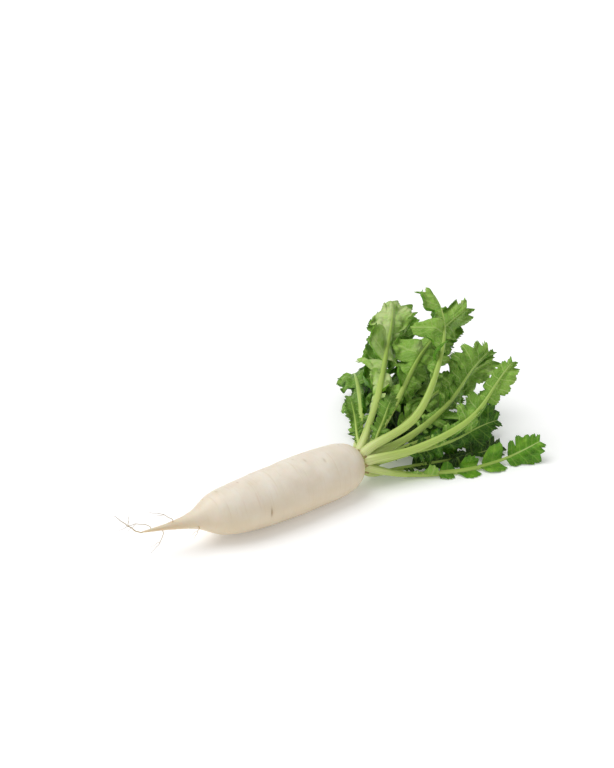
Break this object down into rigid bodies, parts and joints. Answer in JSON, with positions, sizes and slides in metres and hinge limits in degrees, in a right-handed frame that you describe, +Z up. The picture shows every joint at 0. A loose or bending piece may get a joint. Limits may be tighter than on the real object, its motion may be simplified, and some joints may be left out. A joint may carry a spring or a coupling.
{
  "type": "daikon radish",
  "caption": "White tapered radish lying on its belly, with a thin curved tail, hair roots and a spread bunch of green lobed leaves on pale stalks.",
  "frame": {"origin": "middle of the small flat patch of the belly that the root rests on", "axes": "+X along the root from the tail to the crown and leaves, +Y to the side that the leaves spread to, +Z up"},
  "size_m": [0.5584, 0.312, 0.1605],
  "materials": {
    "root_skin": "satin",
    "crown_skin": "satin",
    "leaf_stalk": "satin",
    "leaf_blade": "satin",
    "hair_root": "matte"
  },
  "bodies": {
    "root": {"taproot": "root_skin", "crown": "crown_skin", "leaf_01_stalk": "leaf_stalk", "leaf_01_blade": "leaf_blade", "leaf_02_stalk": "leaf_stalk", "leaf_02_blade": "leaf_blade", "leaf_03_stalk": "leaf_stalk", "leaf_03_blade": "leaf_blade", "leaf_04_stalk": "leaf_stalk", "leaf_04_blade": "leaf_blade", "leaf_05_stalk": "leaf_stalk", "leaf_05_blade": "leaf_blade", "leaf_06_stalk": "leaf_stalk", "leaf_06_blade": "leaf_blade", "leaf_07_stalk": "leaf_stalk", "leaf_07_blade": "leaf_blade", "leaf_08_stalk": "leaf_stalk", "leaf_08_blade": "leaf_blade", "leaf_09_stalk": "leaf_stalk", "leaf_09_blade": "leaf_blade", "leaf_10_stalk": "leaf_stalk", "leaf_10_blade": "leaf_blade", "leaf_11_stalk": "leaf_stalk", "leaf_11_blade": "leaf_blade", "leaf_12_stalk": "leaf_stalk", "leaf_12_blade": "leaf_blade", "leaf_13_stalk": "leaf_stalk", "leaf_13_blade": "leaf_blade", "leaf_14_stalk": "leaf_stalk", "leaf_14_blade": "leaf_blade", "leaf_15_stalk": "leaf_stalk", "leaf_15_blade": "leaf_blade", "leaf_16_stalk": "leaf_stalk", "leaf_16_blade": "leaf_blade", "leaf_17_stalk": "leaf_stalk", "leaf_17_blade": "leaf_blade", "leaf_18_stalk": "leaf_stalk", "leaf_18_blade": "leaf_blade", "hair_root_1": "hair_root", "hair_root_2": "hair_root", "hair_root_3": "hair_root", "hair_root_4": "hair_root", "hair_root_5": "hair_root", "hair_root_6": "hair_root"}
  },
  "joints": []
}
